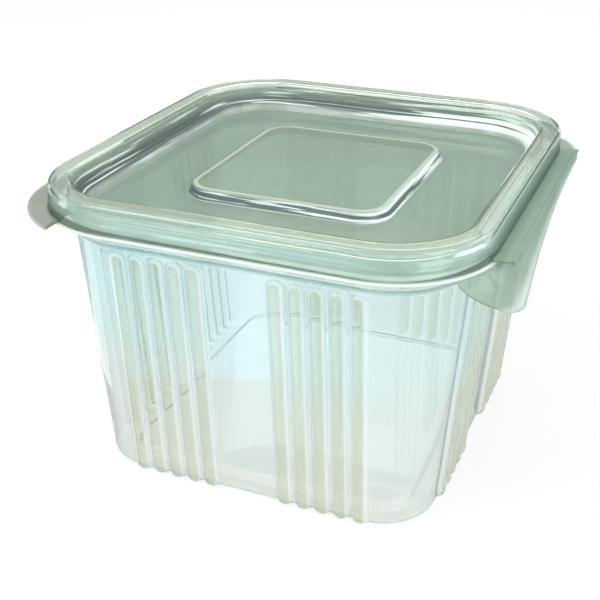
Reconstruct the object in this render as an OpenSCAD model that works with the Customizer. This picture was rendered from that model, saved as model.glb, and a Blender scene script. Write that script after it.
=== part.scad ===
// Clear thermoformed food tub with a hinged lid.
// Fluted, tapered walls stand on a pushed-up floor; the lid is a stepped tray with a raised
// centre that snaps over the tub's rim and folds open on a sheet hinge along one side.
// Millimetres, +Z up. The origin is the middle of the resting plane.

/* [Overall] */
// width over the lift tab and the hinge's leaf, left to right
overall_w = 142.4; // [128:0.2:168]
// depth of the lid's rim, front to back
rim_d = 135; // [120:1:160]
// corner radius of the rim, seen from above
rim_r = 28; // [26:0.5:32]
// height of the closed container
total_h = 88; // [70:1:110]
// thickness of the plastic sheet
sheet_t = 0.5; // [0.4:0.05:0.7]
// room between the tub and the lid where they nest
nest_gap = 0.3; // [0.2:0.05:0.4]

/* [Tub] */
// how far the foot of the wall stands inside the rim's outline
foot_inset = 12; // [11:0.2:14]
// how far the top of the fluted wall stands inside the rim's outline
wall_inset = 6.6; // [6.2:0.1:8]
// width and height of the bevel between floor and wall
foot_bevel = 1.6; // [1:0.1:2.5]
// how far the middle of the floor is pushed up
floor_rise = 2.4; // [1:0.1:4]
// width of the ring that the tub stands on
foot_ring = 6; // [4:0.5:9]
// height of the plain band between the flutes and the flange
band_h = 5.8; // [5:0.2:9]
// height of the sloping step at the foot of the plain band
band_slope = 1.2; // [0.8:0.1:2]
// width of the flange beyond the rim's outline
flange_out = 0.9; // [0.6:0.1:1.6]
// height of the snap bead above the flange
bead_h = 5.2; // [3.5:0.1:6]

/* [Flutes] */
// flutes in each group; every wall has two groups
flute_n = 5; // [3:1:6]
// distance between neighbouring flutes
flute_pitch = 5.6; // [5.4:0.05:6]
// radius of a flute
flute_r = 2.5; // [2.2:0.05:2.6]
// radius of the round foot of a flute
flute_foot_r = 2.65; // [2.4:0.05:2.7]
// how far a flute's axis is sunk behind the face of the wall
flute_sink = 0.9; // [0.6:0.05:1.2]
// half the plain panel between the groups, front and back
front_panel = 11.6; // [9:0.1:13]
// half the plain panel between the groups, left and right
side_panel = 12.4; // [9:0.1:14]
// how far the flutes stay below the step of the plain band
flute_drop = 1.2; // [1:0.1:4]

/* [Lid] */
// height of the lid's skirt, from the flange to the top of the rim
skirt_h = 7.8; // [7.5:0.1:10]
// width of the flat top of the rim with its two rounded edges
rim_band = 6; // [5.6:0.1:6.4]
// depth of the upper wall of the recess
upper_step = 5.6; // [4.5:0.1:6.5]
// width of the ledge between the two walls
ledge_w = 1.8; // [1.5:0.1:3]
// depth of the lower wall of the recess
lower_step = 3.2; // [2:0.1:4.5]
// width of the raised centre
plateau_w = 61; // [45:1:75]
// depth of the raised centre
plateau_d = 67; // [50:1:80]
// corner radius of the raised centre
plateau_r = 9.5; // [6:0.5:14]
// height of the raised centre above the floor of the recess
plateau_h = 3; // [1.5:0.1:4]

/* [Hinge and lift tab] */
// distance of the fold line from the flange's edge
fold_out = 3.9; // [3.5:0.1:5]
// radius of the rolled fold
fold_r = 0.55; // [0.45:0.05:0.7]
// how far the hinge's leaf stands out from the rim at its front end
web_out = 10.6; // [8:0.2:12]
// how far the hinge's leaf stands out from the rim at its back end
web_out_back = 5.7; // [5.5:0.1:7]
// how far the edge of the leaf droops at its front end
web_droop = 6; // [2:0.2:8]
// reach of the leaf towards the front
web_front = 58; // [48:1:59]
// reach of the leaf towards the back
web_back = 63; // [52:1:64]
// corner radius of the leaf's two ends
web_corner = 5; // [2:0.5:6]
// width of the lift tab beyond the rim
tab_out = 5.8; // [4:0.2:7]
// how far the lift tab goes round the two corners beside it, in degrees
tab_turn = 65; // [30:5:65]

/* [Hidden] */
$fn = 64;
eps = 0.01;

// width of the lid's rim, between the tab and the leaf
rim_w = overall_w - web_out - tab_out;

// brings the middle of the whole part, tab and leaf included, over the origin
shift_x = (tab_out - web_out) / 2;

// middles of the four rounded corners, shared by the tub and the lid
cx = rim_w / 2 - rim_r;
cy = rim_d / 2 - rim_r;

// levels
z_flange = total_h - skirt_h - nest_gap;
z_step = z_flange - band_h;
z_bead = z_flange + bead_h;
z_skirt = z_flange + nest_gap;
z_ledge = total_h - upper_step;
z_floor = z_ledge - lower_step;

// corner radii of the tub's outside
r_foot = rim_r - foot_inset;
r_wall = rim_r - wall_inset;
r_flange = rim_r + flange_out;
bevel = foot_bevel;
push_draft = 1;
step_h = band_slope;

// the snap bead stands inside the lid's rim
r_bead_out = rim_r - sheet_t - nest_gap - 0.2;
bead_draft = 0.4;

// corner radii of the lid
skirt_out = 0.4;
r_recess = rim_r - rim_band;
edge = 1.5;
// the draft lets the upper wall pass the tub's band as the lid swings up
wall_draft_lid = 1.4;
r_ledge = r_recess - wall_draft_lid;
r_low = r_ledge - ledge_w;
low_draft = 1.7;
lip_turn = 0.5;

// the plain band clears the recess of the lid
r_band = r_recess - lip_turn + 2 * sheet_t + nest_gap;

// raised centre
px = plateau_w / 2 - plateau_r;
py = plateau_d / 2 - plateau_r;
plateau_draft = 0.8;

// slope of the fluted wall
wall_z0 = bevel;
wall_h = z_step - wall_z0;
wall_tilt = atan((r_wall - r_foot) / wall_h);

// flange's edge on the straight sides, and the thin leaf of the hinge that leaves it
x_flange = rim_w / 2 + flange_out;
web_sink = 0.1;
web_t = sheet_t - 2 * web_sink;
web_z = z_flange - web_sink;
root_bite = 0.3;
curve_n = 10;
bend_at = 0.2;
bend_drop = 0.95;
droop_rise = 1.8;
leaf_short = 12;
leaf_len = 2 * (min(web_front, web_back) - leaf_short);

// the lift tab is drawn a little thinner than the rim it grows from
tab_t = sheet_t - 0.1;

// fold line of the hinge
z_fold = z_flange + nest_gap + fold_r;
x_fold = x_flange + fold_out;

// A solid with rounded corners whose side follows a profile of [corner radius, height] points:
// the profile is turned about each corner's middle and drawn along the straight sides.
module around(x, y, prof) {
  last = len(prof) - 1;
  for (sx = [-1, 1], sy = [-1, 1])
    translate([sx * x, sy * y, 0])
      rotate_extrude()
        polygon(concat([[0, prof[0][1]]], prof, [[0, prof[last][1]]]));
  rotate([90, 0, 0])
    linear_extrude(2 * y, center = true)
      polygon(concat(
        [for (p = prof) [x + p[0], p[1]]],
        [for (i = [last : -1 : 0]) [-x - prof[i][0], prof[i][1]]]
      ));
  rotate([90, 0, 90])
    linear_extrude(2 * x, center = true)
      polygon(concat(
        [for (p = prof) [y + p[0], p[1]]],
        [for (i = [last : -1 : 0]) [-y - prof[i][0], prof[i][1]]]
      ));
}

// One flute: a round rod with a larger round foot, turned about its own axis.
module flute(len, r, foot) {
  rotate_extrude()
    intersection() {
      union() {
        circle(foot);
        square([r, len]);
        translate([0, len]) circle(r);
      }
      translate([0, -foot]) square([foot, len + 2 * foot]);
    }
}

// The two groups of flutes of one wall that looks along -Y.
// reach: distance of the wall's foot from the middle; panel: half the plain panel.
module flute_groups(reach, panel, thin) {
  z_low = flute_foot_r;
  len = (z_step - flute_drop - flute_r - z_low) / cos(wall_tilt);
  for (side = [-1, 1], i = [0 : flute_n - 1])
    translate([side * (panel + i * flute_pitch), -reach, z_low])
      rotate([wall_tilt, 0, 0])
        flute(len, flute_r - thin, flute_foot_r - thin);
}

// All four walls' flutes; thin is the sheet's thickness for the hollow side.
module flutes(thin) {
  for (a = [0, 180]) {
    rotate([0, 0, a])
      flute_groups(cy + r_foot - flute_sink, front_panel, thin);
    rotate([0, 0, a + 90])
      flute_groups(cx + r_foot - flute_sink, side_panel, thin);
  }
}

// The outside of the tub, from the floor to the top of the snap bead.
module tub_outside() {
  around(cx, cy, [
    [r_foot - bevel, 0],
    [r_foot - bevel * 0.35, bevel * 0.3],
    [r_foot, bevel],
    [r_wall, z_step],
    [r_band, z_step + step_h],
    [r_band, z_bead]
  ]);
}

// The hollow of the tub, one sheet inside.
module tub_hollow() {
  t = sheet_t;
  around(cx, cy, [
    [r_foot - bevel - t * 0.3, t],
    [r_foot - bevel * 0.35 - t * 0.8, bevel * 0.3 + t * 0.7],
    [r_foot - t, bevel + t * 0.2],
    [r_wall - t, z_step + t * 0.3],
    [r_band - t, z_step + step_h + t * 0.3],
    [r_band - t, z_bead + 1]
  ]);
}

// The push-up in the floor; grow is the sheet's thickness for its upper side.
module floor_push(z0, grow) {
  around(cx, cy, [
    [r_foot - foot_ring - sheet_t + grow, z0],
    [r_foot - foot_ring - sheet_t - push_draft + grow, floor_rise + grow]
  ]);
}

// The snap bead, hollow from below, and the flange around it.
module tub_rim() {
  t = sheet_t;
  difference() {
    around(cx, cy, [
      [r_flange, z_flange - t],
      [r_flange, z_flange],
      [r_bead_out, z_flange],
      [r_bead_out - bead_draft, z_bead - 0.8],
      [r_bead_out - bead_draft - 0.8, z_bead]
    ]);
    around(cx, cy, [
      [r_bead_out - t, z_flange - t - 1],
      [r_bead_out - t, z_flange - t],
      [r_bead_out - bead_draft - t, z_bead - 0.8 - t * 0.6],
      [r_bead_out - bead_draft - 0.8 - t * 0.6, z_bead - t]
    ]);
  }
}

// How far an outline of corner radius r lies from the middle of the part at y.
function reach(r, y) = cx + (abs(y) <= cy ? r : sqrt(pow(r, 2) - pow(abs(y) - cy, 2)));

// Share of the way along the leaf, from the back corner (0) to its front end (1).
function leaf_share(y) = max(cy - y, 0) / (cy + web_front);

// Edge of the leaf seen from above: it follows the back corner and spreads towards the front.
function leaf_edge(y) =
  reach(rim_r + web_out_back, max(y, 0)) + (web_out - web_out_back) * pow(leaf_share(y), 2);

// How much the rounded ends take off the leaf's edge at y.
function leaf_cut(y) = let (d = max(-web_front + web_corner - y, y - web_back + web_corner, 0))
  web_corner - sqrt(max(pow(web_corner, 2) - pow(d, 2), 0));

// Point and underside of the leaf's section at share t of the curve that droops and runs out.
// w: width before the ends are rounded; drop: how far its edge droops.
function leaf_point(root, w, drop, t) = [
  root + w * (2 * bend_at * t * (1 - t) + t * t),
  web_z - drop * (2 * bend_drop * t * (1 - t) + t * t)
];
function leaf_under(root, w, drop, t) = let (
  dx = w * (2 * bend_at * (1 - 2 * t) + 2 * t),
  dz = -drop * (2 * bend_drop * (1 - 2 * t) + 2 * t)
) leaf_point(root, w, drop, t) + web_t * [dz, -dx] / norm([dx, dz]);

// The section of the leaf at y: out along the top and back along the underside.
function leaf_section(y) = let (
  root = reach(r_flange - root_bite, y),
  w = leaf_edge(y) - root,
  drop = 0.2 + web_droop * pow(leaf_share(y), droop_rise),
  q = 1 - leaf_cut(y) / w,
  k = 2 * bend_at - 1,
  last = (bend_at - sqrt(pow(bend_at, 2) - k * q)) / k
) concat(
  [for (i = [0 : curve_n]) leaf_point(root, w, drop, last * i / curve_n)],
  [for (i = [curve_n : -1 : 0]) leaf_under(root, w, drop, last * i / curve_n)]
);

// The leaf of the hinge, lofted through its sections from front to back.
module web_leaf() {
  n = 28;
  m = 2 * (curve_n + 1);
  ys = [
    for (j = [0 : n]) let (f = j / n)
      -web_front + (web_front + web_back) * (f - 0.85 * sin(360 * f) / (2 * PI))
  ];
  pts = [for (y = ys) for (p = leaf_section(y)) [p[0], y, p[1]]];
  front = [for (i = [0 : m / 2 - 2]) [i, i + 1, m - 2 - i, m - 1 - i]];
  back = [for (q = front) [for (k = [3 : -1 : 0]) q[k] + n * m]];
  sides = [
    for (j = [0 : n - 1], i = [0 : m - 1]) let (a = j * m + i, b = j * m + (i + 1) % m)
      [a, a + m, b + m, b]
  ];
  polyhedron(pts, concat(front, back, sides), convexity = 6);
}

// The tub: floor, fluted walls, plain band, snap bead, flange and the hinge's leaf.
module container_body() {
  color([0.84, 0.91, 0.92, 0.5])
    union() {
      difference() {
        union() {
          tub_outside();
          flutes(0);
          tub_rim();
        }
        difference() {
          union() {
            tub_hollow();
            flutes(sheet_t);
          }
          floor_push(-1, sheet_t);
        }
        floor_push(-1, 0);
      }
      web_leaf();
    }
}

// The lid's rim from outside; in is the sheet's thickness for its inside.
module lid_rim(in) {
  top = total_h - in;
  around(cx, cy, [
    [rim_r + skirt_out - in, z_skirt - 2 * in],
    [rim_r - in, top - edge],
    [rim_r - edge * 0.45 - in * 0.8, top - edge * 0.35],
    [rim_r - edge - in * 0.4, top]
  ]);
}

// The recess of the lid: two walls with a ledge between them, rounded at the top.
// out is the sheet's thickness for its underside.
module lid_recess(out) {
  around(cx, cy, [
    [r_low - low_draft + out * 0.6, z_floor - out],
    [r_low + out, z_ledge - out],
    [r_ledge + out, z_ledge - out],
    [r_recess - lip_turn + out, total_h - edge - out * 0.5],
    [r_recess + out * 0.8, total_h - edge * 0.35 - out * 0.6],
    [r_recess + 0.8 + out * 0.4, total_h - out]
  ]);
}

// The plain leaf that joins the lid's skirt to the fold, with the rolled fold on its edge.
module hinge_leaf() {
  translate([rim_w / 2 - 0.2, -leaf_len / 2, z_fold - sheet_t / 2])
    cube([x_fold - rim_w / 2 + 0.2, leaf_len, sheet_t]);
  translate([x_fold, leaf_len / 2, z_fold])
    rotate([90, 0, 0])
      cylinder(h = leaf_len, r = fold_r);
}

// The flat tab along the left side of the lid and round the corners beside it.
module lift_tab() {
  r_tab = rim_r + tab_out;
  intersection() {
    difference() {
      around(cx, cy, [[r_tab, z_skirt], [r_tab, z_skirt + tab_t]]);
      around(cx, cy, [
        [rim_r + skirt_out - root_bite, z_skirt - 1],
        [rim_r + skirt_out - root_bite, z_skirt + 1]
      ]);
    }
    translate([-cx - 2 * r_tab, -cy - 2 * r_tab, 0])
      cube([2 * r_tab - r_tab * cos(tab_turn), 2 * cy + 4 * r_tab, total_h]);
  }
}

// The raised centre of the lid; in is the sheet's thickness for its underside.
module plateau(z0, in) {
  around(px, py, [
    [plateau_r - in * 0.8, z0],
    [plateau_r - in * 0.8, z_floor - in],
    [plateau_r - plateau_draft - in * 0.8, z_floor + plateau_h - 0.5 - in * 0.6],
    [plateau_r - plateau_draft - 0.5 - in * 0.6, z_floor + plateau_h - in]
  ]);
}

// The lid: skirt, rim, stepped recess, raised centre, hinge leaf and lift tab.
module lid() {
  color([0.76, 0.85, 0.80, 0.5])
    difference() {
      union() {
        difference() {
          union() {
            difference() {
              lid_rim(0);
              lid_rim(sheet_t);
            }
            lid_recess(sheet_t);
          }
          translate([0, 0, eps]) lid_recess(0);
        }
        plateau(z_floor - sheet_t / 2, 0);
        hinge_leaf();
        lift_tab();
      }
      plateau(z_floor - sheet_t - 1, sheet_t);
    }
}

translate([shift_x, 0, 0]) container_body();
translate([shift_x, 0, 0]) lid();
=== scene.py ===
import math

import bpy
import numpy as np
from mathutils import Matrix, Vector


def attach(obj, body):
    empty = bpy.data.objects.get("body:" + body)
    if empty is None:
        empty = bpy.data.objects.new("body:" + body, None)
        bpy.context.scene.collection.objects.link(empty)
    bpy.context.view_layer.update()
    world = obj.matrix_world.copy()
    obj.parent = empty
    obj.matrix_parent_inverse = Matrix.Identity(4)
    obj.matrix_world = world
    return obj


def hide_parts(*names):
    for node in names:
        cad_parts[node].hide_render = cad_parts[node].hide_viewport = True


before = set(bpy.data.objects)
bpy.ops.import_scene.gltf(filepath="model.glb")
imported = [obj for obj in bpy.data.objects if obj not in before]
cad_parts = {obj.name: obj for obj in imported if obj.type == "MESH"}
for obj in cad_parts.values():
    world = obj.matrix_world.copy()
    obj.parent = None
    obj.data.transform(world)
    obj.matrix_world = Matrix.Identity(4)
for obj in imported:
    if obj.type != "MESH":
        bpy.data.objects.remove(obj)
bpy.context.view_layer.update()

MM = 0.001   # metres

# Sizes of the container in millimetres about the middle of its rim, after the CAD model. R is a
# corner radius. Sizes of the floor, the rim and the lid are those of the middle of the sheet.
SHIFT = np.array([-2.4, 0.0, 0.0])   # from the middle of the rim to the middle of the whole part
CORNER_X, CORNER_Y = 35.0, 39.5      # middles of the rounded corners
PLATEAU_X, PLATEAU_Y = 21.0, 24.0    # middles of the raised centre's corners
TOTAL_H = 88.0                       # height of the closed container
SHEET = 0.5                          # thickness of the plastic
WEB_SHEET, TAB_SHEET = 0.3, 0.4      # thickness of the drooping leaf and of the lift tab
HALF = SHEET / 2
R_RIM = 28.0                         # outside of the rim
R_FOOT, R_WALL = 16.0, 21.4          # outside of the wall at its foot and at its top
WALL_Z0, Z_STEP = 1.6, 74.1          # where the straight wall starts and ends
WALL_SLOPE = (R_WALL - R_FOOT) / (Z_STEP - WALL_Z0)
R_SOLE, Z_FOOT = 14.2, 2.0           # inner and upper end of the foot's bend
Z_FLOOR = 2.65                       # pushed-up floor
R_BAND, Z_BAND = 22.55, 75.4         # plain band above the wall, and its lower edge
Z_BEAD, Z_FLANGE = 84.85, 79.65      # top of the snap bead, and the flange
FLUTES, PITCH = 5, 5.6               # flutes in a group, and from one to the next
FLUTE_R, FLUTE_FOOT_R = 2.5, 2.65    # radius of a flute's rod and of the ball at its foot
FLUTE_SINK, FLUTE_TOP = 0.9, 72.9    # depth of the rod's axis behind the wall, top of the flutes
FLUTE_BLEND = 0.12                   # softness of the run from a flute into the wall, squared
FLUTE_NEAR = 1.2                     # a rod deeper than this behind the wall leaves it plain
FRONT_PANEL, SIDE_PANEL = 11.6, 12.4   # from the middle of a wall to the first flute
Z_CENTRE, Z_TRAY, Z_LEDGE = 81.95, 78.95, 82.15   # raised centre, floor and ledge of the lid
Z_RIM, Z_SKIRT = 87.75, 80.2         # rim of the lid, and the foot of its skirt
Z_TAB = 80.4                         # lift tab
X_FOLD, Z_FOLD, FOLD_R = 67.8, 80.75, 0.55   # fold of the hinge
X_LEAF, LEAF_Y = 62.9, 46.0          # inner edge and half length of the hinge's flat leaf


def fillet(points, radii, steps):
    """A polyline with rounded bends.

    Each bend is replaced by a quadratic curve that starts and ends its radius away from the
    bend along the two legs, or 0.45 of a shorter leg: p(s) = (1-s)^2 a + 2 s (1-s) bend + s^2 b.
    One more point on each leg, 0.15 of that way further, keeps the flats beside the bend flat.
    """
    pts = np.asarray(points, float)
    out = [pts[:1]]
    s = np.linspace(0, 1, steps)[:, None]
    for before, bend, after, r in zip(pts[:-2], pts[1:-1], pts[2:], radii):
        leg_a, leg_b = before - bend, after - bend
        len_a, len_b = np.linalg.norm(leg_a), np.linalg.norm(leg_b)
        a = bend + leg_a / len_a * min(r, 0.45 * len_a)
        b = bend + leg_b / len_b * min(r, 0.45 * len_b)
        arc = (1 - s) ** 2 * a + 2 * s * (1 - s) * bend + s ** 2 * b
        out.append(np.concatenate([[a + 0.15 * (a - bend)], arc, [b + 0.15 * (b - bend)]]))
    out.append(pts[-1:])
    return np.concatenate(out)


def outline(front, side, corner):
    """The way round a rounded rectangle, anticlockwise from above, as unit offsets.

    front and side hold places along the straight sides as shares of the half length, -1 to 1;
    corner is the number of places on each corner. Column u lies at
    (ax * sx[u] + r * nx[u], ay * sy[u] + r * ny[u]) for the corner middles (ax, ay) and the
    corner radius r.
    """
    turn = np.linspace(0, np.pi / 2, corner + 2)[1:-1]
    sides = []
    for k in range(4):
        along = front if k % 2 == 0 else side
        c, s = np.round(np.cos(k * np.pi / 2)), np.round(np.sin(k * np.pi / 2))
        one = np.ones_like(along)
        a, b = np.r_[along, np.ones(corner)], np.r_[-one, -np.ones(corner)]
        p, q = np.r_[0 * one, np.sin(turn)], np.r_[-one, -np.cos(turn)]
        sides.append((c * a - s * b, s * a + c * b, c * p - s * q, s * p + c * q))
    return [np.concatenate(v) for v in zip(*sides)]


def rows_about(ax, ay, profile):
    """Rows (ax, ay, r, z) for swept, from a profile of (r, z) that turns about one set of corners."""
    return np.c_[np.full(len(profile), ax), np.full(len(profile), ay), profile]


def swept(rows, loop, bulge=0.0):
    """Points of a profile carried round an outline.

    rows has (ax, ay, r, z) for each step of the profile; bulge[v, u] is added to r.
    """
    sx, sy, nx, ny = loop
    ax, ay, r, z = (rows[:, i:i + 1] for i in range(4))
    r = r + bulge + 0 * sx
    return np.stack([ax * sx + r * nx, ay * sy + r * ny, z + 0 * r], axis=-1)


def sheet_normals(mid, closed):
    """Unit normals of a grid of points, from the cross product of its two central differences."""
    dv = np.gradient(mid, axis=0)
    if closed:
        du = np.roll(mid, -1, axis=1) - np.roll(mid, 1, axis=1)
    else:
        du = np.gradient(mid, axis=1)
    n = np.cross(du, dv)
    return n / np.maximum(np.linalg.norm(n, axis=-1, keepdims=True), 1e-12)


def grid_faces(v, u, closed, start=0, flip=False):
    """Quads of a v by u grid of vertices numbered row by row from start."""
    i = np.arange(v - 1)[:, None]
    j = np.arange(u if closed else u - 1)[None, :]
    k = (j + 1) % u
    quads = np.stack([i * u + j, i * u + k, (i + 1) * u + k, (i + 1) * u + j], axis=-1)
    quads = quads.reshape(-1, 4) + start
    return quads[:, ::-1] if flip else quads


def strip(a, b):
    """Quads between two lines of vertex numbers of the same length."""
    return np.stack([a[:-1], b[:-1], b[1:], a[1:]], axis=-1)


def make_piece(name, points, faces, values=None, smooth=True):
    """A mesh object from points in millimetres about the rim's middle, faces and point attributes."""
    mesh = bpy.data.meshes.new(name)
    mesh.from_pydata(((points + SHIFT) * MM).tolist(), [], [list(map(int, f)) for f in faces])
    for key, data in (values or {}).items():
        layer = mesh.attributes.new(key, "FLOAT", "POINT")
        layer.data.foreach_set("value", np.asarray(data, np.float32).ravel())
    mesh.update()
    if smooth:
        mesh.shade_smooth()
    piece = bpy.data.objects.new(name, mesh)
    bpy.context.scene.collection.objects.link(piece)
    return piece


def shell(name, mid, thick, values, closed=True, even=None):
    """A closed thin-walled piece on both sides of a middle surface.

    The two sides are mid + thick/2 * n and mid - thick/2 * n. On a closed outline the first row is
    filled across by one flat face on each side, and the last row is joined across the thickness;
    an open sheet is joined along all four edges. A value given as a pair has its own numbers on
    each side. n is the normal of the grid even, if one is given: the plain surface under a ribbed
    one, so that narrow grooves don't fold over.
    """
    v, u = mid.shape[:2]
    offset = sheet_normals(mid if even is None else even, closed) * thick / 2
    points = np.concatenate([(mid + offset).reshape(-1, 3), (mid - offset).reshape(-1, 3)])
    count = v * u
    faces = list(grid_faces(v, u, closed)) + list(grid_faces(v, u, closed, count, True))
    ring, end = np.arange(u), (v - 1) * u
    if closed:
        last = np.r_[ring, 0] + end
        faces += list(strip(last + count, last)) + [ring[::-1], ring + count]
    else:
        col = np.arange(v) * u
        for edge in (ring, ring[::-1] + end, col[::-1], col + u - 1):
            faces += list(strip(edge, edge + count))
    sides = {k: d if isinstance(d, tuple) else (d, d) for k, d in values.items()}
    data = {k: np.r_[np.ravel(a), np.ravel(b)] for k, (a, b) in sides.items()}
    return make_piece(name, points, faces, data)


def wall_places(panel, half):
    """Columns along one wall as shares of its half length: close together on the flutes.

    Every flute has columns at its middle plus half the pitch times the sine of even steps.
    """
    step = 0.5 * PITCH * np.sin(np.linspace(-1, 1, 13)[:-1] * np.pi / 2)
    middles = panel + PITCH * np.arange(FLUTES)
    fluted = np.r_[(middles[:, None] + step[None, :]).ravel(), middles[-1] + 0.5 * PITCH]
    inner = np.linspace(0, fluted[0], 5)[:-1]
    outer = np.linspace(fluted[-1], half, 4)[1:]
    places = np.r_[inner, fluted, outer]
    places = places[places < half] / half
    return np.r_[-1.0, -places[:0:-1], places, 1.0]


def flute_reach(along, z, panel):
    """Corner radius that a flute's rod reaches at a place along the wall and a height.

    Across the flute the rod is a circle, sqrt(R^2 - a^2); at its top it ends in a half ball,
    sqrt(R^2 - a^2 - (z - end)^2), and its foot is a larger ball. Where there is no flute the
    reach is 0, far behind the wall.
    """
    a = np.abs(along) - panel
    a = a - np.clip(np.round(a / PITCH), 0, FLUTES - 1) * PITCH
    end = FLUTE_TOP - FLUTE_R
    rod = FLUTE_R ** 2 - a ** 2 - np.maximum(z - end, 0) ** 2
    rod = np.where(z < FLUTE_FOOT_R, -1.0, rod)
    foot = FLUTE_FOOT_R ** 2 - a ** 2 - (z - FLUTE_FOOT_R) ** 2
    square = np.maximum(rod, foot)
    axis = R_FOOT - FLUTE_SINK + (np.maximum(z, FLUTE_FOOT_R) - WALL_Z0) * WALL_SLOPE
    return np.where(square > 0, axis + np.sqrt(np.maximum(square, 0)), 0.0)


def tub_surface():
    """Middle surface of the tub's one sheet: pushed-up floor, foot, fluted wall, band, bead, flange.

    Rows follow the profile outwards and up. On the wall's rows the radius is the soft maximum
    m(a, b) = (a + b + sqrt((a - b)^2 + k^2)) / 2 of the plain wall and the flutes' rods. zone is
    0 on the plain wall to 1 on a flute's crest, 1.2 on the step, 2 on the band, 2.4 on the bead,
    2.6 on the flange and 3 along its edge; height is z as a share of the whole height. The second
    grid is the same surface without the flutes.
    """
    floor = fillet([(6.0, Z_FLOOR), (8.75, Z_FLOOR), (9.75, HALF), (13.6, HALF)], [0.8, 0.8], 5)
    z_low = np.array([0.3, 0.42, 0.6, 0.85, 1.15, 1.5, 1.9, 2.4, 3.0, 3.7, 4.5, 5.4])
    bend = np.clip((z_low - HALF) / (Z_FOOT - HALF), 0, 1)
    r_low = R_SOLE + (R_FOOT - HALF - R_SOLE) * np.sqrt(1 - (1 - bend) ** 2)
    r_low = r_low + np.maximum(z_low - Z_FOOT, 0) * WALL_SLOPE
    z_dome = FLUTE_TOP - FLUTE_R + np.array([0, 0.5, 1.0, 1.45, 1.8, 2.1, 2.35, 2.6])
    z_high = np.r_[12.0, 24.0, 38.0, 52.0, 64.0, 68.0, z_dome]
    r_high = R_FOOT - HALF + (z_high - WALL_Z0) * WALL_SLOPE
    rim = fillet([(r_high[-1], z_high[-1]), (R_WALL - HALF, Z_STEP), (R_BAND, Z_BAND), (R_BAND, Z_BEAD),
                  (25.95, Z_BEAD), (26.75, Z_FLANGE), (28.9, Z_FLANGE)], [0.5, 0.7, 0.8, 0.9, 0.7], 6)[1:]
    profile = np.concatenate([floor, np.c_[r_low, z_low], np.c_[r_high, z_high], rim])
    rows = rows_about(CORNER_X, CORNER_Y, profile)
    loop = outline(wall_places(FRONT_PANEL, CORNER_X), wall_places(SIDE_PANEL, CORNER_Y), 14)

    sx, sy, nx, ny = loop
    front, side = np.abs(ny) > 0.999, np.abs(nx) > 0.999
    along = np.where(front, CORNER_X * sx, CORNER_Y * sy)
    panel = np.where(front, FRONT_PANEL, SIDE_PANEL)
    plain, z = profile[:, :1], profile[:, 1:]
    row = np.arange(len(profile))[:, None]
    on_wall = (row >= len(floor)) & (row < len(profile) - len(rim)) & (front | side)
    reach = np.where(on_wall, flute_reach(along, z, panel) - HALF, 0.0)
    soft = (plain + reach + np.sqrt((plain - reach) ** 2 + FLUTE_BLEND)) / 2
    bulge = np.where(reach > plain - FLUTE_NEAR, soft - plain, 0.0)

    crest = np.clip(bulge / (FLUTE_R - FLUTE_SINK), 0, 1)
    r_rim, z_rim = rim.T
    part = np.select([z_rim < 75.3, r_rim < 22.8, r_rim < 26.5, r_rim < 28.8], [1.2, 2.0, 2.4, 2.6], 3.0)
    zone = np.concatenate([crest[:-len(rim)], np.repeat(part[:, None], len(sx), axis=1)])
    values = {"zone": zone, "height": z / TOTAL_H + 0 * zone}
    return swept(rows, loop, bulge), swept(rows, loop), values


def lid_surface():
    """Middle surface of the lid's one sheet, from the raised centre out to the foot of the skirt.

    The raised centre's rows turn about its own corners, the rest about the rim's corners; the
    flat floor is the straight run between the two outlines. zone numbers the parts: 0 raised
    top, 1 its wall, 2 floor, 3 lower wall, 4 ledge, 5 upper wall, 6 rim, 7 skirt. run is the length
    along the profile in millimetres; lines is 1 on the upper side of the steep walls, where
    painted shade and painted highlight lines go.
    """
    top = fillet([(4.0, Z_CENTRE), (6.7, Z_CENTRE), (8.1, Z_CENTRE), (9.3, Z_TRAY), (10.6, Z_TRAY)],
                 [0.2, 0.7, 0.6], 7)
    rim = fillet([(15.6, Z_TRAY), (17.25, Z_TRAY), (18.9, Z_LEDGE), (20.75, Z_LEDGE), (21.85, Z_RIM),
                  (27.55, Z_RIM), (28.15, Z_SKIRT)], [0.6, 0.6, 0.6, 1.3, 1.5], 8)
    rows = np.concatenate([rows_about(PLATEAU_X, PLATEAU_Y, top), rows_about(CORNER_X, CORNER_Y, rim)])
    places = np.linspace(-1, 1, 15)
    loop = outline(places, places, 18)

    zone_top = np.interp(top[:, 0], [6.5, 6.9, 7.7, 8.3, 9.1, 9.7], [0, 0.4, 0.45, 1, 1, 2])
    r, z = rim.T
    outwards = r + 0.1 * (z - 79)
    zone_rim = np.interp(outwards, [15, 17.3, 18.0, 18.9, 19.6, 20.8, 21.4, 22.6, 26.6, 28.4, 28.6],
                         [2, 2, 3, 3.5, 4, 4.5, 5, 6, 6, 7, 7])
    zone_rim = np.where((r > 27.4) & (z < 87), 7.0, zone_rim)
    zone = np.repeat(np.r_[zone_top, zone_rim][:, None], len(loop[0]), axis=1)
    step = np.hypot(*np.diff(rows[:, 2:], axis=0).T)
    run = np.r_[0, np.cumsum(step)][:, None] + 0 * zone
    lines = np.interp(zone, [0.5, 0.9, 1.1, 1.6, 2.5, 2.8, 5.5, 6.0], [0, 1, 1, 0, 0, 1, 1, 0])
    return swept(rows, loop), {"zone": zone, "run": run, "lines": (0 * lines, lines)}


def rim_reach(r, y):
    """Distance of the rim's outline from the middle at y: cx + sqrt(r^2 - (|y| - cy)^2) on a corner."""
    over = np.maximum(np.abs(y) - CORNER_Y, 0)
    return CORNER_X + np.sqrt(np.maximum(r ** 2 - over ** 2, 0))


def eased(y0, y1, n):
    """Places from y0 to y1 that lie closer together at both ends: f - 0.85 sin(2 pi f) / (2 pi)."""
    f = np.linspace(0, 1, n)
    return y0 + (y1 - y0) * (f - 0.85 * np.sin(2 * np.pi * f) / (2 * np.pi))


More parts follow.
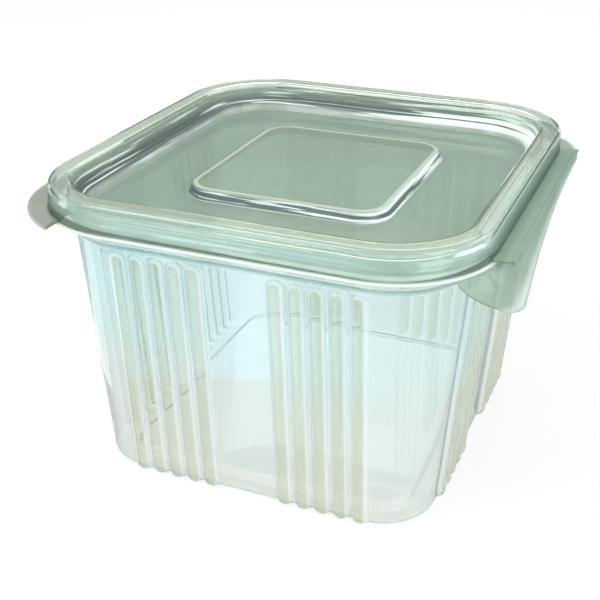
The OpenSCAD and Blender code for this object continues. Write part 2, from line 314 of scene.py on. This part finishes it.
def web_leaf_surface(front=58.0, back=63.0, out=10.6, out_back=5.7, droop=6.0, corner=5.0):
    """Middle surface of the hinge's leaf on the tub's right-hand side.

    At each y the section is a quadratic curve that droops and then runs out:
    x = root + w (0.4 t (1 - t) + t^2), z = top - drop (1.9 t (1 - t) + t^2). Its edge follows the
    back corner and spreads with the square of the share of the way to the front. The ends are
    rounded off: there t stops at the root of 0.6 t^2 + 0.4 t = q, where q is the share of w kept.
    """
    y = eased(-front, back, 61)[:, None]
    share = np.maximum(CORNER_Y - y, 0) / (CORNER_Y + front)
    root = rim_reach(R_RIM + 0.6, y)
    edge = rim_reach(R_RIM + out_back, np.maximum(y, 0)) + (out - out_back) * share ** 2
    past = np.maximum(np.maximum(corner - front - y, y - back + corner), 0)
    cut = corner - np.sqrt(np.maximum(corner ** 2 - past ** 2, 0))
    w = edge - root
    q = 1 - cut / w
    roll = np.linspace(0, 1, 25)[None, :]
    t = roll * (np.sqrt(0.04 + 0.6 * q) - 0.2) / 0.6
    x = root + w * (0.4 * t * (1 - t) + t ** 2)
    z = Z_FLANGE - (0.2 + droop * share ** 1.8) * (1.9 * t * (1 - t) + t ** 2)
    return np.stack([x, y + 0 * x, z], axis=-1), roll + 0 * x


def lift_tab_surface(out=5.8, turn=65.0):
    """Middle surface of the flat lift tab along the lid's left side and round its two corners.

    Columns go from the foot of the skirt to the tab's edge; rows follow the outline. The tab
    ends where its edge has turned by the given angle, on a line across.
    """
    r_in, r_out = R_RIM + 0.1, R_RIM + out
    end = r_out * math.cos(math.radians(turn))
    share = np.linspace(0, 1, 9)[None, :]
    r = r_in + (r_out - r_in) * share
    angle = np.arccos(np.clip(end / r, -1, 1)) * np.linspace(1, 0, 25)[:, None]
    x, y = -(CORNER_X + r * np.cos(angle)), CORNER_Y + r * np.sin(angle)
    corner = np.stack([x, y, Z_TAB + 0 * x], axis=-1)
    side_y = np.linspace(CORNER_Y, -CORNER_Y, 13)[1:-1, None]
    side = np.stack(np.broadcast_arrays(-(CORNER_X + r), side_y, Z_TAB), axis=-1)
    other = corner[::-1] * np.array([1.0, -1.0, 1.0])
    grid = np.concatenate([corner, side, other])
    return grid, share + 0 * grid[:, :, 0]


def hinge_leaf():
    """The flat leaf that joins the lid's skirt to the fold: one profile drawn along Y.

    The profile is the leaf's two sides joined by the part of the fold's circle beyond them.
    """
    open_angle = math.asin(HALF / FOLD_R)
    a = np.linspace(np.pi - open_angle, -np.pi + open_angle, 21)
    circle = np.c_[X_FOLD + FOLD_R * np.cos(a), Z_FOLD + FOLD_R * np.sin(a)]
    profile = np.concatenate([[(X_LEAF, Z_FOLD + HALF)], circle, [(X_LEAF, Z_FOLD - HALF)]])
    y = np.linspace(-LEAF_Y, LEAF_Y, 25)
    u, v = len(profile), len(y)
    points = np.stack(np.broadcast_arrays(profile[None, :, 0], y[:, None], profile[None, :, 1]), -1)
    faces = list(grid_faces(v, u, True)) + [np.arange(u)[::-1], np.arange(u) + (v - 1) * u]
    return points.reshape(-1, 3), faces


def new_material(name):
    """A material with nodes, emptied, and its output node."""
    m = bpy.data.materials.new(name)
    m.use_nodes = True
    m.node_tree.nodes.clear()
    return m, m.node_tree, m.node_tree.nodes.new("ShaderNodeOutputMaterial")


def link(tree, a, b):
    """Joins the output a to the input b."""
    tree.links.new(a, b)


def attribute(tree, name):
    """The value of one of the piece's own attributes."""
    node = tree.nodes.new("ShaderNodeAttribute")
    node.attribute_name = name
    return node.outputs["Fac"]


def ramp(tree, fac, stops):
    """A colour ramp fed by fac, with (place, colour) stops."""
    node = tree.nodes.new("ShaderNodeValToRGB")
    while len(node.color_ramp.elements) < len(stops):
        node.color_ramp.elements.new(0.5)
    for e, (place, colour) in zip(node.color_ramp.elements, stops):
        e.position = place
        e.color = (*colour, 1)
    link(tree, fac, node.inputs["Fac"])
    return node.outputs["Color"]


def math_node(tree, op, a, b):
    """The result of one operation on two values, each an output or a number."""
    node = tree.nodes.new("ShaderNodeMath")
    node.operation = op
    for socket, value in zip(node.inputs, (a, b)):
        if hasattr(value, "is_linked"):
            link(tree, value, socket)
        else:
            socket.default_value = value
    return node.outputs[0]


def multiplied(tree, a, b):
    """The product of two colours."""
    node = tree.nodes.new("ShaderNodeMix")
    node.data_type = "RGBA"
    node.blend_type = "MULTIPLY"
    node.inputs["Factor"].default_value = 1.0
    link(tree, a, node.inputs[6])
    link(tree, b, node.inputs[7])
    return node.outputs[2]


def mixed_shader(tree, share, a, b):
    """The shader a where share is 0 and b where it is 1."""
    node = tree.nodes.new("ShaderNodeMixShader")
    for socket, value in zip(node.inputs, (share, a, b)):
        link(tree, value, socket)
    return node.outputs[0]


def seen_rays(tree):
    """1 for camera, glossy and transmission rays, which show what they meet."""
    path = tree.nodes.new("ShaderNodeLightPath")
    seen = math_node(tree, "MAXIMUM", path.outputs["Is Camera Ray"], path.outputs["Is Glossy Ray"])
    return math_node(tree, "MAXIMUM", seen, path.outputs["Is Transmission Ray"])


def sheet_ripple_group():
    """Shared effect: the faint drawn-out streaks and waviness of thermoformed sheet.

    Puts out a streak mask, stretched along Z, and a height for a Bump node.
    """
    g = bpy.data.node_groups.new("drawn_sheet", "ShaderNodeTree")
    for name, default in (("Streak Scale", 160.0), ("Wave Scale", 38.0)):
        s = g.interface.new_socket(name, in_out="INPUT", socket_type="NodeSocketFloat")
        s.default_value = default
    g.interface.new_socket("Streak", in_out="OUTPUT", socket_type="NodeSocketFloat")
    g.interface.new_socket("Height", in_out="OUTPUT", socket_type="NodeSocketFloat")
    i, o = g.nodes.new("NodeGroupInput"), g.nodes.new("NodeGroupOutput")
    co = g.nodes.new("ShaderNodeTexCoord")
    stretch = g.nodes.new("ShaderNodeMapping")
    stretch.inputs["Scale"].default_value = (1, 1, 0.06)
    link(g, co.outputs["Object"], stretch.inputs["Vector"])
    streak = g.nodes.new("ShaderNodeTexNoise")
    streak.inputs["Detail"].default_value = 3
    link(g, stretch.outputs["Vector"], streak.inputs["Vector"])
    link(g, i.outputs["Streak Scale"], streak.inputs["Scale"])
    wave = g.nodes.new("ShaderNodeTexNoise")
    wave.inputs["Detail"].default_value = 1.5
    link(g, co.outputs["Object"], wave.inputs["Vector"])
    link(g, i.outputs["Wave Scale"], wave.inputs["Scale"])
    link(g, streak.outputs["Fac"], o.inputs["Streak"])
    link(g, wave.outputs["Fac"], o.inputs["Height"])
    return g


def painted_wall_lines(tree):
    """Masks of the painted dark and bright lines on the steep walls, which run along the walls: painted
    shade and painted highlights for the light that the bends send aside.

    Noise that changes slowly along the walls and fast along the profile, less 1.3 x, cut off
    sharply: darker towards the tab, brighter towards the hinge. It is there only on the upper side,
    seen from above.
    """
    co, side = tree.nodes.new("ShaderNodeTexCoord"), tree.nodes.new("ShaderNodeNewGeometry")
    along, place = tree.nodes.new("ShaderNodeMapping"), tree.nodes.new("ShaderNodeCombineXYZ")
    along.inputs["Scale"].default_value = (30, 30, 0)
    link(tree, co.outputs["Object"], along.inputs["Vector"])
    link(tree, attribute(tree, "run"), place.inputs["Z"])
    both = tree.nodes.new("ShaderNodeVectorMath")
    link(tree, along.outputs["Vector"], both.inputs[0])
    link(tree, place.outputs["Vector"], both.inputs[1])
    noise = tree.nodes.new("ShaderNodeTexNoise")
    noise.inputs["Scale"].default_value = 1.0
    noise.inputs["Detail"].default_value = 2.0
    link(tree, both.outputs["Vector"], noise.inputs["Vector"])
    shown = math_node(tree, "SUBTRACT", 1.0, side.outputs["Backfacing"])
    shown = math_node(tree, "MULTIPLY", shown, attribute(tree, "lines"))
    across = tree.nodes.new("ShaderNodeSeparateXYZ")
    link(tree, co.outputs["Object"], across.inputs["Vector"])
    level = math_node(tree, "MULTIPLY", across.outputs["X"], -1.3)
    level = math_node(tree, "ADD", level, noise.outputs["Fac"])
    dark = ramp(tree, level, [(0.46, (0, 0, 0)), (0.51, (1, 1, 1))])
    bright = ramp(tree, level, [(0.39, (1, 1, 1)), (0.44, (0, 0, 0))])
    return math_node(tree, "MULTIPLY", dark, shown), math_node(tree, "MULTIPLY", bright, shown)


PAINTED_SHADE_LINE, PAINTED_HIGHLIGHT_LINE = (0.045, 0.08, 0.075, 1), (0.9, 0.96, 0.95, 1)   # painted shade and painted highlight of the steep walls' lines
EDGE_ON = (0.45, 0.52, 0.50)   # what the longest way through the sheet leaves of the light


def clear_plastic(name, group, key, top, tints_with_painted_light, bodies, hazes_with_painted_light, painted_reflection_tones=None, with_painted_lines=False, bump=0.0002):
    """Clear sheet whose tint, body colour and haze follow the piece's own attribute key.

    sheet = glass in the tint, which lets lamp light straight through; film = mix(sheet, plastic
    body, haze). The stops of the ramps are values of the attribute, from 0 to top; besides the
    sheet's own colour they hold painted reflections, painted highlights and painted shade. The
    sheet's streaks darken the body a little. Where the sheet is seen edge on, light goes a longer
    way in it, and EDGE_ON is multiplied in. tones, if given, are painted reflection colours by the
    piece's height attribute that tint and body are multiplied with. lined adds painted shade and
    painted highlight lines along the steep walls.
    """
    m, t, out = new_material(name)
    fac = math_node(t, "DIVIDE", attribute(t, key), top)
    tint = ramp(t, fac, [(p / top, c) for p, c in tints_with_painted_light])
    colour = ramp(t, fac, [(p / top, c) for p, c in bodies])
    haze = ramp(t, fac, [(p / top, (h, h, h)) for p, h in hazes_with_painted_light])
    # the colours by height are a painted reflection, multiplied into tint and body
    if painted_reflection_tones:
        tone = ramp(t, attribute(t, "height"), painted_reflection_tones)
        tint, colour = multiplied(t, tint, tone), multiplied(t, colour, tone)
    drawn = t.nodes.new("ShaderNodeGroup")
    drawn.node_tree = group
    bumps = t.nodes.new("ShaderNodeBump")
    bumps.inputs["Strength"].default_value = 0.5
    bumps.inputs["Distance"].default_value = bump
    link(t, drawn.outputs["Height"], bumps.inputs["Height"])

    glass = t.nodes.new("ShaderNodeBsdfGlass")
    glass.inputs["Roughness"].default_value = 0.0
    glass.inputs["IOR"].default_value = 1.45
    link(t, bumps.outputs["Normal"], glass.inputs["Normal"])
    facing = t.nodes.new("ShaderNodeLayerWeight")
    facing.inputs["Blend"].default_value = 0.5
    longer = math_node(t, "POWER", facing.outputs["Facing"], 3.0)
    longer = ramp(t, longer, [(0.0, (1, 1, 1)), (1.0, EDGE_ON)])
    link(t, multiplied(t, tint, longer), glass.inputs["Color"])
    clear = t.nodes.new("ShaderNodeBsdfTransparent")
    link(t, tint, clear.inputs["Color"])
    path = t.nodes.new("ShaderNodeLightPath")
    lit = math_node(t, "MAXIMUM", path.outputs["Is Shadow Ray"], path.outputs["Is Diffuse Ray"])
    sheet = mixed_shader(t, lit, glass.outputs[0], clear.outputs[0])

    body = t.nodes.new("ShaderNodeBsdfPrincipled")
    body.inputs["Roughness"].default_value = 0.35
    body.inputs["IOR"].default_value = 1.5
    streaks = ramp(t, drawn.outputs["Streak"], [(0.3, (0.88, 0.9, 0.89)), (0.7, (1, 1, 1))])
    link(t, multiplied(t, colour, streaks), body.inputs["Base Color"])
    film = mixed_shader(t, haze, sheet, body.outputs[0])
    # painted shade and painted highlight lines on the steep walls
    if with_painted_lines:
        dark, bright = painted_wall_lines(t)
        for mask, line_colour in ((bright, PAINTED_HIGHLIGHT_LINE), (dark, PAINTED_SHADE_LINE)):
            paint = t.nodes.new("ShaderNodeBsdfPrincipled")
            paint.inputs["Base Color"].default_value = line_colour
            paint.inputs["Roughness"].default_value = 0.3
            film = mixed_shader(t, math_node(t, "MULTIPLY", mask, 0.9), film, paint.outputs[0])
    link(t, film, out.inputs["Surface"])
    return m


def floor_material():
    """Pale floor: white to the camera and in reflections, with a soft shadow under the container."""
    m, t, out = new_material("studio_floor")
    matt = t.nodes.new("ShaderNodeBsdfDiffuse")
    matt.inputs["Color"].default_value = (0.9, 0.9, 0.9, 1)
    glow = t.nodes.new("ShaderNodeEmission")
    glow.inputs["Color"].default_value = (1, 1, 1, 1)
    share = math_node(t, "MULTIPLY", seen_rays(t), 0.75)
    link(t, mixed_shader(t, share, matt.outputs[0], glow.outputs[0]), out.inputs["Surface"])
    return m


drawn_sheet = sheet_ripple_group()

# The tub's colours by zone are painted light on clear sheet: a pale-blue painted reflection
# flange's edge. Its colours by height are a painted reflection, warm low down and blue higher up.
# on the plain wall, painted bright highlights on the flutes' flanks, a beige painted reflection
# on their crests, a painted dark line on the step and a painted white highlight along the
tub_plastic = clear_plastic(
    "tub_clear_plastic", drawn_sheet, "zone", 3.0,
    tints_with_painted_light=[(0.0, (0.98, 0.995, 1.0)), (0.6, (0.985, 0.995, 0.995)), (0.78, (0.94, 0.96, 0.94)),
           (1.0, (0.925, 0.945, 0.91)), (1.25, (0.90, 0.95, 0.94)), (2.0, (0.97, 0.985, 0.98)),
           (2.6, (0.95, 0.98, 0.97)), (3.0, (0.98, 0.99, 0.99))],
    bodies=[(0.0, (0.85, 0.97, 0.99)), (0.4, (0.97, 1.0, 1.0)), (0.62, (0.97, 1.0, 1.0)),
            (0.78, (0.71, 0.76, 0.67)), (1.0, (0.69, 0.74, 0.65)), (1.25, (0.6, 0.72, 0.70)),
            (2.0, (0.72, 0.86, 0.84)), (2.6, (0.85, 0.94, 0.92)), (3.0, (1.0, 1.0, 1.0))],
    hazes_with_painted_light=[(0.0, 0.09), (0.3, 0.36), (0.62, 0.36), (0.78, 0.16), (1.0, 0.16), (1.25, 0.2),
           (2.0, 0.05), (2.4, 0.05), (2.6, 0.2), (3.0, 0.8)],
    painted_reflection_tones=[(0.0, (0.985, 0.972, 0.955)), (0.38, (0.98, 0.976, 0.968)), (0.55, (0.945, 0.995, 1.0)),
           (0.84, (0.94, 0.99, 1.0)), (0.88, (0.975, 0.982, 0.972)), (1.0, (0.975, 0.982, 0.972))],
)

FLAT_TINT_WITH_REFLECTION, WALL_TINT = (0.68, 0.76, 0.69), (0.96, 0.975, 0.96)    # lid's flats and steep walls; the flats' grey-green is partly painted reflection
FLAT_BODY_WITH_REFLECTION, WALL_BODY = (0.395, 0.48, 0.405), (0.9, 0.96, 0.92)
# The lid's colours by zone are partly painted reflection: grey-green on the flats, the ledge
# and the bends between them, pale blue on the raised centre's wall and beige on the rim.
lid_plastic = clear_plastic(
    "lid_clear_plastic", drawn_sheet, "zone", 7.0, with_painted_lines=True, bump=0.0001,
    tints_with_painted_light=[(0.0, FLAT_TINT_WITH_REFLECTION), (0.38, (0.84, 0.88, 0.79)), (0.8, (0.93, 0.96, 0.95)),
           (1.2, (0.93, 0.96, 0.95)), (2.0, FLAT_TINT_WITH_REFLECTION), (2.4, (0.68, 0.74, 0.68)), (3.2, WALL_TINT),
           (3.7, WALL_TINT), (4.0, (0.76, 0.81, 0.76)), (4.4, WALL_TINT), (6.0, (0.94, 0.96, 0.92)),
           (7.0, (0.90, 0.94, 0.92))],
    bodies=[(0.0, FLAT_BODY_WITH_REFLECTION), (0.38, (0.66, 0.71, 0.6)), (1.0, (0.8, 0.88, 0.88)), (2.0, FLAT_BODY_WITH_REFLECTION),
            (2.4, (0.38, 0.44, 0.38)), (3.2, WALL_BODY), (3.7, WALL_BODY), (4.0, (0.4, 0.46, 0.41)),
            (4.4, WALL_BODY), (5.4, WALL_BODY), (6.0, (0.72, 0.75, 0.66)), (7.0, (0.74, 0.86, 0.83))],
    hazes_with_painted_light=[(0.0, 0.36), (0.38, 0.55), (1.0, 0.2), (2.0, 0.36), (3.2, 0.4), (3.6, 0.4), (4.0, 0.3),
           (4.4, 0.35), (5.2, 0.35), (6.0, 0.1), (7.0, 0.08)],
)
# The tab's and the web's grey-green is partly painted reflection, as on the lid's flats;
# both are lighter along their free edge.
tab_plastic = clear_plastic(
    "tab_clear_plastic", drawn_sheet, "roll", 1.0,
    tints_with_painted_light=[(0.0, (0.66, 0.70, 0.64)), (0.85, (0.64, 0.68, 0.62)), (1.0, (0.85, 0.89, 0.85))],
    bodies=[(0.0, (0.5, 0.54, 0.47)), (0.85, (0.49, 0.53, 0.46)), (1.0, (0.8, 0.84, 0.8))],
    hazes_with_painted_light=[(0.0, 0.32), (0.85, 0.36), (1.0, 0.5)],
)
web_plastic = clear_plastic(
    "web_clear_plastic", drawn_sheet, "roll", 1.0,
    tints_with_painted_light=[(0.0, (0.74, 0.82, 0.76)), (0.85, (0.66, 0.75, 0.69)), (1.0, (0.86, 0.91, 0.87))],
    bodies=[(0.0, (0.5, 0.6, 0.515)), (0.85, (0.48, 0.58, 0.495)), (1.0, (0.8, 0.86, 0.82))],
    hazes_with_painted_light=[(0.0, 0.3), (0.5, 0.36), (0.9, 0.36), (1.0, 0.5)],
)


def dress(piece, material, body, node):
    """Gives a piece its material and slot, lets it ride on its body and stand for its CAD node."""
    piece.data.materials.append(material)
    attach(piece, body)
    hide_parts(node)


tub_mid, tub_plain, tub_values = tub_surface()
tub = shell("tub_shell", tub_mid, SHEET, tub_values, even=tub_plain)
dress(tub, tub_plastic, "tub", "container_body")

web_mid, web_roll = web_leaf_surface()
web = shell("hinge_web", web_mid, WEB_SHEET, {"roll": web_roll}, closed=False)
dress(web, web_plastic, "tub", "container_body")

lid_mid, lid_values = lid_surface()
lid = shell("lid_tray", lid_mid, SHEET, lid_values)
dress(lid, lid_plastic, "lid", "lid")

tab_mid, tab_roll = lift_tab_surface()
tab = shell("lift_tab", tab_mid, TAB_SHEET, {"roll": tab_roll}, closed=False)
dress(tab, tab_plastic, "lid", "lid")

leaf_points, leaf_faces = hinge_leaf()
leaf_roll = np.full(len(leaf_points), 0.3)
leaf = make_piece("hinge_leaf", leaf_points, leaf_faces, {"roll": leaf_roll}, smooth=False)
dress(leaf, web_plastic, "lid", "lid")

scene = bpy.context.scene
scene.view_settings.view_transform = "Standard"
scene.cycles.transparent_max_bounces = 48
scene.cycles.max_bounces = 28
scene.cycles.transmission_bounces = 28
scene.cycles.glossy_bounces = 8

# The stage, in millimetres: a floor, and cards, panels and strips that show only in the plastic.
QUAD = [[0, 1, 2, 3]]
QUAD_SIGNS = np.array([(-1, -1), (1, -1), (1, 1), (-1, 1)])
FLOOR_REACH, FLOOR_Z, STRIP_Z = 3000.0, -0.3, 0.3
STAGE_MIDDLE = np.array([0.0, 0.0, 60.0])

floor_points = np.c_[QUAD_SIGNS * FLOOR_REACH, np.full(4, FLOOR_Z)]
floor = make_piece("studio_floor", floor_points, QUAD, smooth=False)
floor.data.materials.append(floor_material())


def glow_piece(name, points, faces, colour, strength, through=False):
    """A glowing piece of the stage that shows only in the object's gloss, or also through it.

    The camera and shadows don't meet it, and it lights nothing. strength is one number, or one
    for each point.
    """
    m, t, out = new_material(name)
    glow = t.nodes.new("ShaderNodeEmission")
    glow.inputs["Color"].default_value = (*colour, 1)
    values = None
    if np.ndim(strength):
        values = {"grey": strength}
        link(t, attribute(t, "grey"), glow.inputs["Strength"])
    else:
        glow.inputs["Strength"].default_value = strength
    link(t, glow.outputs[0], out.inputs["Surface"])
    piece = make_piece(name, points, faces, values, smooth=False)
    piece.data.materials.append(m)
    piece.visible_camera = piece.visible_diffuse = piece.visible_shadow = False
    piece.visible_transmission = through


def card(name, centre, width, height, colour, strength):
    """A flat card beside the object: spans width by height about centre and faces the object."""
    n = STAGE_MIDDLE - centre
    n = n / np.linalg.norm(n)
    side = np.cross((0, 0, 1), n)
    side /= np.linalg.norm(side)
    up = np.cross(n, side)
    corners = centre + QUAD_SIGNS @ np.array([side * width / 2, up * height / 2])
    glow_piece(name, corners, QUAD, colour, strength)


def floor_strip(name, azimuth, near, far, width, colour, strength):
    """A strip that lies on the floor and points away from the object, from near to far."""
    a = math.radians(azimuth)
    away, across = np.array([math.sin(a), -math.cos(a)]), np.array([math.cos(a), math.sin(a)])
    places = np.array([(near, -1), (near, 1), (far, 1), (far, -1)]) * (1, width / 2)
    corners = np.c_[places @ np.array([away, across]), np.full(4, STRIP_Z)]
    glow_piece(name, corners, QUAD, colour, strength)


def horizon_panels(name, radius, low, high, shades):
    """A ring of upright panels round the object, of the given grey levels.

    Panel k spans the angles k to k + 1 of as many equal parts of the circle as there are shades.
    """
    a = np.linspace(0, 2 * np.pi, len(shades) + 1)
    a = np.stack([a[:-1], a[1:]], axis=1).ravel()
    ring = np.c_[radius * np.cos(a), radius * np.sin(a)]
    points = np.concatenate([np.c_[ring, np.full(len(a), z)] for z in (low, high)])
    first = np.arange(0, len(a), 2)
    faces = np.stack([first, first + 1, first + 1 + len(a), first + len(a)], axis=1)
    glow_piece(name, points, faces, (1, 1, 1), np.tile(np.repeat(shades, 2), 2), through=True)


panel_no = np.arange(44)
pale_panel = np.sin(2.4 * panel_no) + np.sin(5.1 * panel_no) > 0.5
horizon_panels("dark_panels", 700, 15, 230, np.where(pale_panel, 1.4, 0.03))
card("dark_card_front", (-160, -620, 190), 420, 160, (0.05, 0.06, 0.06), 1.0)
card("sage_card_back", (-180, 520, 330), 700, 260, (0.40, 0.47, 0.40), 1.0)
card("window_card_front", (-212, -623, 312), 80, 90, (0.82, 0.94, 1.0), 8.0)
floor_strip("window_strip_right", 92, 230, 420, 180, (0.86, 0.95, 1.0), 14.0)
floor_strip("sky_strip_front", -13.5, 105, 180, 130, (0.45, 0.7, 1.0), 3.0)
floor_strip("beige_strip_front", 18, 105, 240, 90, (0.3, 0.26, 0.2), 1.0)
floor_strip("bright_strip_left", -75, 90, 700, 60, (1, 1, 1), 2.5)
floor_strip("teal_strip_right", 70, 95, 245, 30, (0.12, 0.26, 0.25), 1.0)
floor_strip("dark_strip_back", -160, 95, 700, 90, (0.12, 0.16, 0.15), 1.0)


def area_light(name, place, look, size, power):
    """A square area lamp of that size at place, pointed at look, in metres and watts."""
    data = bpy.data.lights.new(name, "AREA")
    data.size, data.energy = size, power
    lamp = bpy.data.objects.new(name, data)
    scene.collection.objects.link(lamp)
    lamp.location = place
    lamp.rotation_euler = (Vector(look) - Vector(place)).to_track_quat("-Z", "Y").to_euler()


area_light("key_lamp", (-0.5, -0.5, 0.9), (0, 0, 0.04), 0.6, 6.0)
area_light("fill_lamp", (0.7, -0.3, 0.5), (0, 0, 0.04), 0.5, 2.5)
area_light("back_strip", (-0.15, 0.6, 0.5), (0, 0, 0.08), 0.4, 0.8)
area_light("side_strip", (0.5, 0.35, 0.45), (0, 0, 0.08), 0.4, 0.8)

# The surroundings are white where they are seen and a little weaker as light.
world = bpy.data.worlds.new("studio")
scene.world = world
world.use_nodes = True
sky = world.node_tree
sky.nodes.clear()
sky_out = sky.nodes.new("ShaderNodeOutputWorld")
sky_light, sky_seen = sky.nodes.new("ShaderNodeBackground"), sky.nodes.new("ShaderNodeBackground")
for shade, strength in ((sky_light, 0.7), (sky_seen, 1.0)):
    shade.inputs["Color"].default_value = (1, 1, 1, 1)
    shade.inputs["Strength"].default_value = strength
sky_mix = mixed_shader(sky, seen_rays(sky), sky_light.outputs[0], sky_seen.outputs[0])
link(sky, sky_mix, sky_out.inputs["Surface"])

# The photograph's view.
AZIMUTH, ELEVATION, ROLL = math.radians(22.56), math.radians(26.43), math.radians(-0.1)
TARGET, DISTANCE = Vector((-6.741 + SHIFT[0], 0.0, 35.790)) * MM, 337.8 * MM
FOCAL_PIXELS, FRAME_PIXELS, SENSOR = 1058.12, 600, 36.0
flat = math.cos(ELEVATION)
back = Vector((math.sin(AZIMUTH) * flat, -math.cos(AZIMUTH) * flat, math.sin(ELEVATION)))
level_right = Vector((math.cos(AZIMUTH), math.sin(AZIMUTH), 0))
right = level_right * math.cos(ROLL) + back.cross(level_right) * math.sin(ROLL)
eye = bpy.data.cameras.new("photo_camera")
eye.sensor_width = SENSOR
eye.lens = FOCAL_PIXELS / FRAME_PIXELS * SENSOR
eye.clip_start = 0.01
camera = bpy.data.objects.new("photo_camera", eye)
scene.collection.objects.link(camera)
pose = Matrix((right, back.cross(right), back)).transposed().to_4x4()
pose.translation = TARGET + back * DISTANCE
camera.matrix_world = pose
scene.camera = camera
